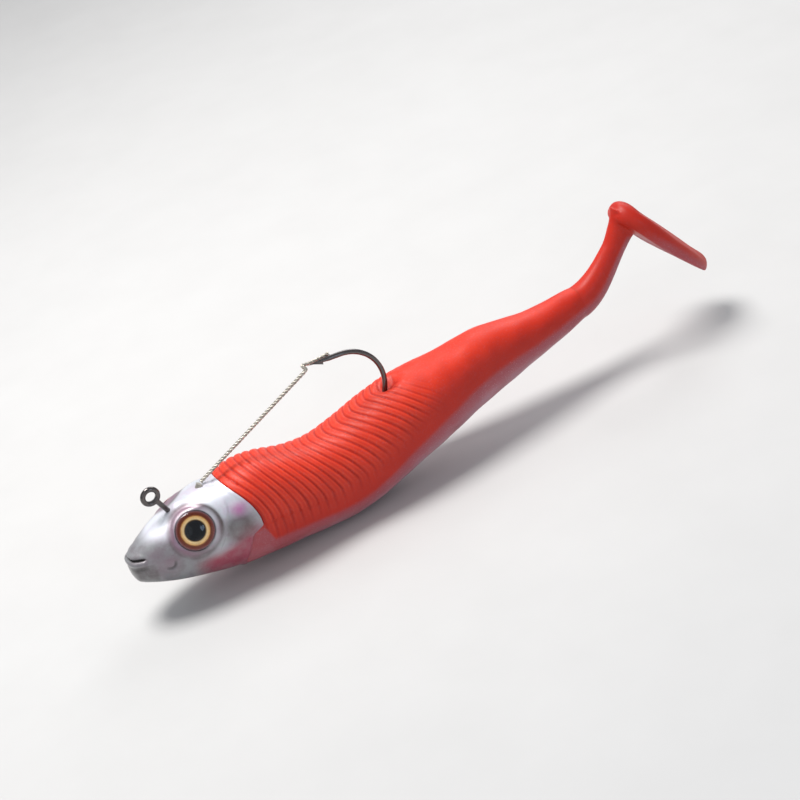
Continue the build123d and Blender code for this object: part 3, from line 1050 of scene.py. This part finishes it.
def stem_path(share):
    """The stem's centre line: from the body's last section to the paddle's neck."""
    start = np.array([flex_x[2], 0, float(BODY.centre(flex_x[2]))])
    slope = float(BODY.centre(flex_x[2] + 1) - BODY.centre(flex_x[2] - 3)) / 4
    length = np.linalg.norm(neck - start)
    out = np.array([1, 0, slope]) / math.hypot(1, slope) * length
    into = joint_axis("paddle_twist") * length
    s = np.asarray(share, float)[..., None]
    return (
        start * (1 + 2 * s) * (1 - s) ** 2
        + out * s * (1 - s) ** 2
        + neck * s**2 * (3 - 2 * s)
        - into * s**2 * (1 - s)
    )


def stem_rings(share, around):
    """Oval rings along the stem, down to the part's own oval by the time they reach the paddle."""
    path = stem_path(share)
    nudge = 0.01
    heading = unit(stem_path(share + nudge) - stem_path(share - nudge))
    up = np.stack([-heading[:, 2], np.zeros(len(share)), heading[:, 0]], axis=-1)
    _, start_height, start_width = BODY.sizes(flex_x[2])
    taper = step_up(share, 0, 0.8)[:, None]
    half_height = start_height + (STEM_HALF_HEIGHT - start_height) * taper
    half_width = start_width + (STEM_HALF_WIDTH - start_width) * taper
    angle = round_angles(around)[None, :]
    reach = oval_reach(half_height, half_width, angle, SQUARENESS + (2 - SQUARENESS) * taper)
    reach = reach + 0.03 * np.sin(9 * share[:, None] + 2 * angle)
    return (
        path[:, None, :]
        + (reach * np.cos(angle))[..., None] * SIDE
        + (reach * np.sin(angle))[..., None] * up[:, None, :]
    )


SPLIT_SHARE = 0.42  # how far along the stem its first piece ends


def stem_half_sizes():
    """Half height and half width of the stem, measured most of the way to the paddle."""
    place, following = stem_path(np.array([0.78, 0.80]))
    heading = unit(following - place)
    up = np.array([-heading[2], 0, heading[0]])
    outside = 10.0
    top, bottom, flank = (
        outside - cast(stem_tree, place + way * outside, -way)[1] for way in (up, -up, -SIDE)
    )
    return (top + bottom) / 2, flank


STEM_HALF_HEIGHT, STEM_HALF_WIDTH = stem_half_sizes()
THICKNESS_SHARES = (-0.3, 0.6)  # where the blade's thickness is measured, from its middle
CUP_DEPTH = 1.3
NECK_FLARE = 1.4
NECK_RISE = 1.6  # how much further the back of the neck rises to meet the blade's top
STEM_AROUND = 120
NECK_AROUND = 64


def stem_piece(material):
    """From the middle of the rear stretch, through the tail bend, to partway up the stem."""
    x = np.append(np.arange((flex_x[1] + flex_x[2]) / 2, flex_x[2], PLAIN_STEP), flex_x[2])
    angle = round_angles(STEM_AROUND)
    body_part, body_masks = body_points(x[:, None], angle[None, :])
    share = np.linspace(0, SPLIT_SHARE, 30)[1:]
    grid = np.concatenate([body_part, stem_rings(share, STEM_AROUND)])
    masks = {}
    for mask, values in stem_masks(angle[None, :], share[:, None]).items():
        masks[mask] = with_ends(np.concatenate([body_masks[mask], values]))
    faces = tube_faces(*grid.shape[:2])
    return make_mesh("rear_skin", with_fans(grid), faces, material, masks)


def stem_masks(angle, share):
    """The red back, how far it has run into the pearl, and the painted shade on the red above the
    colour line, at these angles round the stem.
    """
    line = float(COLOUR_ANGLE(flex_x[2])) - 0.25 * share
    above = (folded_angle(angle) - line) * STEM_HALF_HEIGHT
    return {"red": step_up(above, -0.9, 0.9), "bleed_and_shade": bleed_and_shade_across(above)}


def paddle_frame():
    """Middle of the blade, its downward direction, its facing, its half sizes, and how thick
    it is near its top and near its toe."""
    facing = joint_axis("paddle_twist")
    down = np.array([facing[2], 0, -facing[0]])
    data = frame["nodes"]["paddle"].data
    points = np.array([vertex.co for vertex in data.vertices]) / MM - neck
    along = points @ down
    half_length = (along.max() - along.min()) / 2
    half_width = np.abs(points[:, 1]).max()
    middle = neck + down * (along.max() + along.min()) / 2
    tree = surface("paddle")
    thickness = []
    for share in THICKNESS_SHARES:
        near = middle + down * half_length * share
        front = cast(tree, near - facing * 30, facing)[0]
        rear = cast(tree, near + facing * 30, -facing)[0]
        thickness.append(np.linalg.norm(rear - front))
    middle = middle + facing * (((front + rear) / 2 - neck) @ facing)
    return middle, down, facing, half_length, half_width, thickness


def join_smoothly(name, shells, cell):
    """One watertight skin round several overlapping closed shells."""
    points, faces = join_shells(shells)
    mesh = bpy.data.meshes.new(name + "_shells")
    mesh.from_pydata((np.array(points) * MM).tolist(), [], faces)
    shell = bpy.data.objects.new(name + "_shells", mesh)
    bpy.context.scene.collection.objects.link(shell)
    remesh = shell.modifiers.new("join", "REMESH")
    remesh.mode = "VOXEL"
    remesh.voxel_size = cell * MM
    remesh.use_smooth_shade = True
    smooth = shell.modifiers.new("smooth", "SMOOTH")
    smooth.factor = 0.5
    smooth.iterations = 6
    graph = bpy.context.evaluated_depsgraph_get()
    made = bpy.data.meshes.new_from_object(shell.evaluated_get(graph))
    places = np.zeros(len(made.vertices) * 3, np.float32)
    made.vertices.foreach_get("co", places)
    polygons = [list(polygon.vertices) for polygon in made.polygons]
    bpy.data.objects.remove(shell)
    bpy.data.meshes.remove(mesh)
    bpy.data.meshes.remove(made)
    return places.reshape(-1, 3) / MM, polygons


def blade_shell(middle, down, facing, half_length, half_width, thickness):
    """A paddle blade: an oval thinning to its toe, its edges curled forward into a shallow cup
    with a thicker rim."""
    rings, around = 110, 120
    sweep = np.linspace(0.03, math.pi - 0.03, rings)
    share = -np.cos(sweep)
    width = half_width * np.sin(sweep) ** 0.8
    taper = (thickness[1] - thickness[0]) / (THICKNESS_SHARES[1] - THICKNESS_SHARES[0])
    thick = thickness[0] + taper * (share - THICKNESS_SHARES[0])
    thick = np.maximum(thick, 0.9 * thickness[1]) * np.sin(sweep) ** 0.4 / 2
    angle = np.linspace(0, 2 * math.pi, around, endpoint=False)
    across = np.cos(angle)[None, :] * np.ones((rings, 1))
    flat = np.sign(np.sin(angle)) * np.abs(np.sin(angle)) ** 0.8
    through = flat[None, :] * thick[:, None]
    edge = np.maximum(np.abs(across), np.abs(share)[:, None])
    rim = hump(edge, 0.86, 0.12) - 0.9 * (1 - step_up(edge, 0.45, 0.85))
    through = through * (1 + 0.14 * rim)
    curl = CUP_DEPTH * across**2 * step_up(share, -0.9, 0.2)[:, None]
    middle_along = middle + down * (share * half_length)[:, None]
    points = (
        middle_along[:, None, :]
        + (across * width[:, None])[..., None] * SIDE
        + (through - curl)[..., None] * facing
    )
    return with_fans(points), tube_faces(rings, around)


def neck_tube(facing, depth, share):
    """The stem's upper part, flared where it sinks into the blade."""
    angle = round_angles(NECK_AROUND)
    up = np.array([-facing[2], 0, facing[0]])
    rings = [stem_rings(share, NECK_AROUND)]
    for step in np.linspace(0, 1, 14)[1:]:
        flare = NECK_FLARE * step**2
        ring = (
            neck
            + facing * depth * step
            + ((STEM_HALF_WIDTH + flare) * np.cos(angle))[:, None] * SIDE
            + ((STEM_HALF_HEIGHT + flare) * np.sin(angle))[:, None] * up
        )
        rings.append(ring[None])
    tube = np.concatenate(rings)
    count = len(tube)
    rise = NECK_RISE * step_up(np.arange(count), 0.45 * count, count - 6)
    upper_side = np.maximum(np.sin(angle), 0)
    tube = tube + rise[:, None, None] * upper_side[None, :, None] * up
    return with_fans(tube), tube_faces(*tube.shape[:2])


def paddle_piece(material):
    """The upper stem, the neck and the blade in one skin."""
    middle, down, facing, half_length, half_width, thickness = paddle_frame()
    blade = blade_shell(middle, down, facing, half_length, half_width, thickness)
    depth = (middle - neck) @ facing
    tube = neck_tube(facing, depth, np.linspace(SPLIT_SHARE - 0.03, 1, 40))
    points, faces = join_smoothly("paddle_skin", [blade, tube], 0.2)
    path = stem_path(np.linspace(0, 1, 60))
    above_stem = points[:, 2] - np.interp(points[:, 0], path[:, 0], path[:, 2])
    masks = stem_masks(np.arctan2(above_stem, np.abs(points[:, 1])), SPLIT_SHARE)
    from_neck = points - neck
    on_blade = step_up(from_neck @ facing, -1.5, 1.0)
    front_low = step_up(-(points - middle) @ facing, -0.3, 1.4) * step_up(from_neck @ down, -1, 9)
    masks["red"] += (1 - 0.8 * front_low - masks["red"]) * on_blade
    masks["bleed_and_shade"] += (1 - masks["bleed_and_shade"]) * on_blade
    return make_mesh("paddle_skin", points, faces, material, masks, 80)


def tail_pieces(material):
    stem = stem_piece(material)
    bend_across(stem)
    stand_for(stem, "tail_plastic", "rear_body_upper", "rear_body_belly", "tail_stem")
    paddle = paddle_piece(material)
    twist_start = stem_path(np.array([0.72]))[0]
    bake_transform(paddle)
    stand_for(paddle, "tail_plastic", "paddle")


# ---------------------------------------------------------------- hook and weed guard


STRANDS = 3
LAY_LENGTH = 2.6  # one turn of the twist


def guard_path():
    """The guard's corners: its root, the end of the straight leg, the tip of the tight loop,
    and the return leg that lies beside the hook point."""
    root = joint_place("guard_press")
    side_y = guard_high[1] - STRAND
    start_x = guard_high[0] - STRAND
    while cast(guard_tree, (start_x - 0.25, side_y, FAR), (0, 0, -1))[0] is not None:
        start_x -= 0.25
    start_x += STRAND
    end_x = guard_high[0] - 0.3

    def top_of(x, y):
        return cast(guard_tree, (x, y, FAR), (0, 0, -1))[0][2]

    low_x = root[0] + 4
    high_x = start_x - 4
    slope = math.atan((top_of(high_x, 0) - top_of(low_x, 0)) / (high_x - low_x))
    low_point = np.array([low_x, 0, top_of(low_x, 0) - STRAND / math.cos(slope)])
    direction = np.array([math.cos(slope), 0, math.sin(slope)])
    leg_end = low_point + direction * (start_x - 0.2 - low_x) / direction[0]
    tip = leg_end + np.array([-0.85, 0.6, 0.95])
    return_start = np.array([start_x + 1, side_y, top_of(start_x + 1, side_y) - STRAND])
    return_end = np.array([end_x, side_y, top_of(end_x - 0.3, side_y) - STRAND])
    return root, leg_end, tip, return_start, return_end


def even_path(corners, step):
    """A rounded path through the corners, with points evenly spaced."""
    fine = []
    for a, b in zip(corners, corners[1:]):
        count = max(2, int(np.linalg.norm(b - a) / 0.05))
        fine += [a + (b - a) * i / count for i in range(count)]
    fine = np.array(fine + [corners[-1]])
    for _ in range(160):
        fine[1:-1] = (fine[:-2] + 2 * fine[1:-1] + fine[2:]) / 4
    lengths = np.concatenate([[0], np.cumsum(np.linalg.norm(np.diff(fine, axis=0), axis=1))])
    wanted = np.arange(0, lengths[-1], step)
    return np.stack([np.interp(wanted, lengths, fine[:, k]) for k in range(3)], axis=1), wanted


def guard_piece():
    """Twisted strands following the guard's path, their cut ends slightly splayed."""
    corners = guard_path()
    path, length = even_path(corners, 0.08)
    heading = unit(np.gradient(path, axis=0))
    side = np.tile(SIDE, (len(path), 1))
    side = unit(side - np.sum(side * heading, axis=1)[:, None] * heading)
    up = np.cross(heading, side)
    strand_radius = STRAND * 0.5
    splay = 1 + 0.5 * step_up(length, length[-1] - 1.5, length[-1])
    lay = (STRAND - strand_radius) * splay
    shells = []
    for strand in range(STRANDS):
        turn = 2 * math.pi * (length / LAY_LENGTH + strand / STRANDS)
        offset = np.cos(turn)[:, None] * side + np.sin(turn)[:, None] * up
        rings = tube_along(path + lay[:, None] * offset, strand_radius, 10)
        shells.append((with_fans(rings), tube_faces(*rings.shape[:2], flip=True)))
    metal = strand_metal("guard_strand", rgb(0.60, 0.56, 0.49), rgb(0.34, 0.31, 0.27))
    piece = make_mesh("guard_cable", *join_shells(shells), metal, {}, 70)
    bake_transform(piece)
    stand_for(piece, "guard_strand", "weed_guard")


def metal_nodes():
    """The hook and the ferrule are shown as the part has them."""
    tin = strand_metal("guard_ferrule", rgb(0.55, 0.52, 0.47), rgb(0.33, 0.30, 0.26))
    for name, metal in (("hook", hook_wire()), ("guard_ferrule", tin)):
        materials = frame["nodes"][name].data.materials
        materials.clear()
        materials.append(metal)


# ---------------------------------------------------------------- stage, lights, camera


def floor():
    low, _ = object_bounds()
    mesh = bpy.data.meshes.new("floor")
    half = 3.0
    z = low.z - 0.2 * MM
    corners = [(-half, -half, z), (half, -half, z), (half, half, z), (-half, half, z)]
    mesh.from_pydata(corners, [], [(0, 1, 2, 3)])
    piece = bpy.data.objects.new("floor", mesh)
    bpy.context.scene.collection.objects.link(piece)
    material, tree = new_material("floor")
    place = node(tree, "TexCoord")["Object"]
    tone = mix(tree, noise(tree, place, 60, 4), rgb(0.55, 0.545, 0.54), rgb(0.59, 0.585, 0.58))
    finish_material(material, {"Base Color": tone, "Roughness": 0.9, "Specular IOR Level": 0.2})
    mesh.materials.append(material)
    piece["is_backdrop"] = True


def area_light(name, place, target, size, power, colour=(1, 1, 1)):
    light = bpy.data.lights.new(name, "AREA")
    light.shape = "DISK"
    light.size = size
    light.energy = power
    light.color = colour
    lamp = bpy.data.objects.new(name, light)
    lamp.location = place
    lamp.rotation_mode = "QUATERNION"
    lamp.rotation_quaternion = (Vector(target) - Vector(place)).to_track_quat("-Z", "Y")
    bpy.context.scene.collection.objects.link(lamp)


WINDOW_TILT = 0.14  # how far back the mirrored lamp shows on the dome


def eye_window():
    """A small lamp that the camera sees mirrored in the left eye's dome, behind its centre."""
    facing = unit(EYE_OUT + EYE_BACK * WINDOW_TILT)
    towards_camera = camera_axes()[2]
    direction = Vector(2 * (facing @ towards_camera) * facing - towards_camera)
    face = Vector(EYE) * MM
    area_light("window", face + 0.40 * direction, face, 0.11, 0.11, (0.60, 0.78, 1))


def studio():
    bpy.context.scene.view_settings.view_transform = "Standard"
    world = bpy.data.worlds.new("studio")
    world.use_nodes = True
    world.node_tree.nodes["Background"].inputs["Color"].default_value = rgb(0.88, 0.90, 0.94)
    world.node_tree.nodes["Background"].inputs["Strength"].default_value = 0.50
    bpy.context.scene.world = world
    middle = (cad_low + cad_high) / 2
    area_light("key", middle + Vector((-0.09, 0.10, 0.45)), middle, 0.24, 2.6, (1, 0.99, 0.97))
    area_light("fill", middle + Vector((-0.35, -0.40, 0.25)), middle, 0.50, 0.25, (0.95, 0.97, 1))
    area_light("rear", middle + Vector((0.30, 0.30, 0.30)), middle, 0.30, 0.7)
    eye_window()


CAMERA_TURN = [math.radians(value) for value in (30, 70, 18)]  # elevation, heading, roll
CAMERA_DISTANCE = 420.0
CAMERA_SHIFT = (40.9, 26.4)  # to its right and up, so that the whole lure is in view
CAMERA_LENS = 94.5


def camera_axes():
    """The camera's right, up and backward directions."""
    elevation, heading, roll = CAMERA_TURN
    back = np.array(
        [
            -math.cos(elevation) * math.cos(heading),
            -math.cos(elevation) * math.sin(heading),
            math.sin(elevation),
        ]
    )
    level = np.array([math.sin(heading), -math.cos(heading), 0])
    upright = np.cross(level, -back)
    right = math.cos(roll) * level - math.sin(roll) * upright
    up = math.sin(roll) * level + math.cos(roll) * upright
    return right, up, back


def camera():
    """Looks back along the lure from ahead of its left side, rolled so the tail rises."""
    right, up, back = camera_axes()
    aim = np.array([EYE[0] - 0.5, -7.9, -7.5])
    place = aim + CAMERA_DISTANCE * back + CAMERA_SHIFT[0] * right + CAMERA_SHIFT[1] * up
    data = bpy.data.cameras.new("camera")
    data.sensor_width = 36.0
    data.lens = CAMERA_LENS
    data.clip_start = 0.01
    camera_object = bpy.data.objects.new("camera", data)
    turn = Matrix([right, up, back]).transposed().to_4x4()
    camera_object.matrix_world = Matrix.Translation(Vector(place) * MM) @ turn
    bpy.context.scene.collection.objects.link(camera_object)
    bpy.context.scene.camera = camera_object


# ---------------------------------------------------------------- everything together

head_piece()
eyes()
back_material = soft_plastic("back_plastic")
belly_material = soft_plastic("belly_plastic")
tail_material = soft_plastic("tail_plastic")
body_pieces(back_material, belly_material)
tail_pieces(tail_material)
guard_piece()
metal_nodes()
floor()
studio()
camera()
